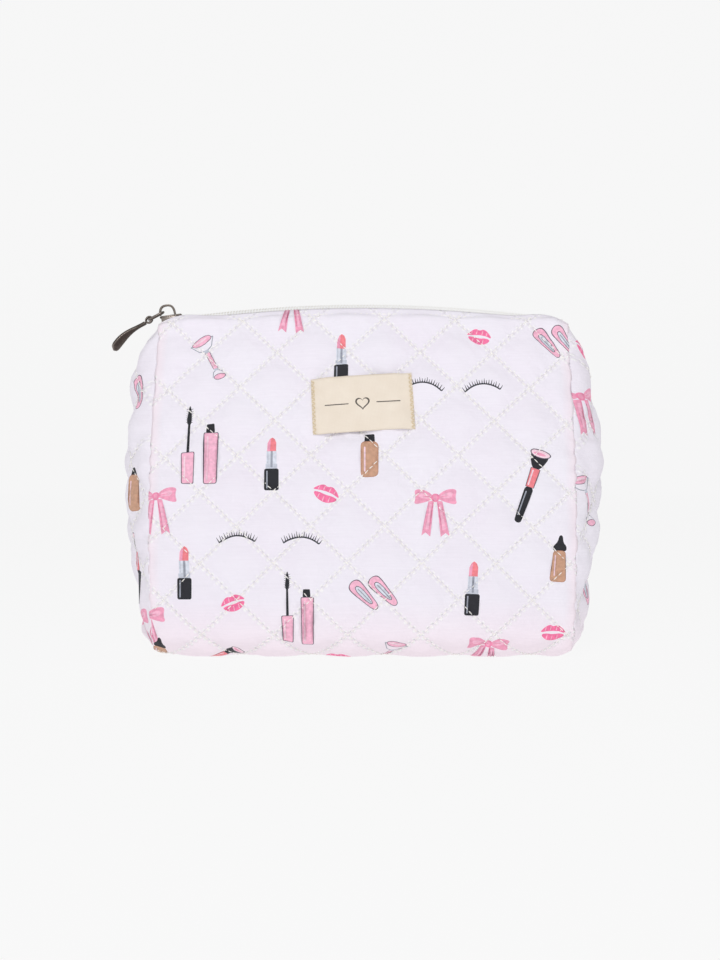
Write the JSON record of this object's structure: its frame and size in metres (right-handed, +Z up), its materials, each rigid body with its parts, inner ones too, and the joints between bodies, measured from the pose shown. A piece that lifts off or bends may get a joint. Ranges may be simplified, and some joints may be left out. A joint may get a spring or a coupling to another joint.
{
  "type": "makeup bag",
  "caption": "Free-standing quilted fabric makeup bag with rounded puffed gussets, an arched coil zip and a hanging metal pull.",
  "frame": {"origin": "centre of the flat face that the bag stands on, midway between the side seams and between front and back", "axes": "+Z up, the front with the label looks along -Y, +X to the right seen from the front"},
  "size_m": [0.2515, 0.09, 0.18],
  "materials": {
    "printed_cotton": "printed woven cotton, matt, quilted with cream thread",
    "wadding": "bonded polyester wadding",
    "lining": "plain woven lining, matt",
    "binding": "folded bias tape, matt",
    "zip_tape": "herringbone woven polyester tape",
    "zip_coil": "satin nylon coil",
    "gunmetal": "dark gunmetal plating, worn lighter on the edges",
    "label": "woven label, matt, cream"
  },
  "bodies": {
    "shell": {"base_cover": "printed_cotton", "base_wadding": "wadding", "base_lining": "lining", "left_gusset_cover": "printed_cotton", "left_gusset_wadding": "wadding", "left_gusset_lining": "lining", "right_gusset_cover": "printed_cotton", "right_gusset_wadding": "wadding", "right_gusset_lining": "lining", "left_seam_binding": "binding", "right_seam_binding": "binding"},
    "front_wall": {"front_cover": "printed_cotton", "front_wadding": "wadding", "front_lining": "lining", "front_zip_tape": "zip_tape", "front_zip_coil": "zip_coil", "label": "label"},
    "back_wall": {"back_cover": "printed_cotton", "back_wadding": "wadding", "back_lining": "lining", "back_zip_tape": "zip_tape", "back_zip_coil": "zip_coil"},
    "slider": {"slider_body": "gunmetal", "slider_bridge": "gunmetal"},
    "link": {"pull_link": "gunmetal"},
    "pull": {"pull_tab": "gunmetal"}
  },
  "joints": [
    {"name": "zip_travel", "type": "hinge", "parent": "shell", "child": "slider", "pos_m": [0, 0, -0.5126], "axis": [0, 1, 0], "range_deg": [0, 16.37]},
    {"name": "front_mouth", "type": "hinge", "parent": "shell", "child": "front_wall", "pos_m": [0, -0.045, 0.018], "axis": [1, 0, 0], "range_deg": [0, 10], "deforming": ["front_zip_tape", "front_zip_coil"]},
    {"name": "back_mouth", "type": "hinge", "parent": "shell", "child": "back_wall", "pos_m": [0, 0.045, 0.018], "axis": [-1, 0, 0], "range_deg": [0, 10], "deforming": ["back_zip_tape", "back_zip_coil"]},
    {"name": "link_swing", "type": "hinge", "parent": "slider", "child": "link", "pos_m": [-0.1039, 0, 0.17576], "axis": [0, 1, 0], "range_deg": [0, 165]},
    {"name": "tab_swing", "type": "hinge", "parent": "link", "child": "pull", "pos_m": [-0.11141, 0, 0.17177], "axis": [0, 1, 0], "range_deg": [0, 75]}
  ],
  "couplings": [
    {"joint": "front_mouth", "follows": "zip_travel", "ratio": 0.6103},
    {"joint": "back_mouth", "follows": "zip_travel", "ratio": 0.6103}
  ]
}
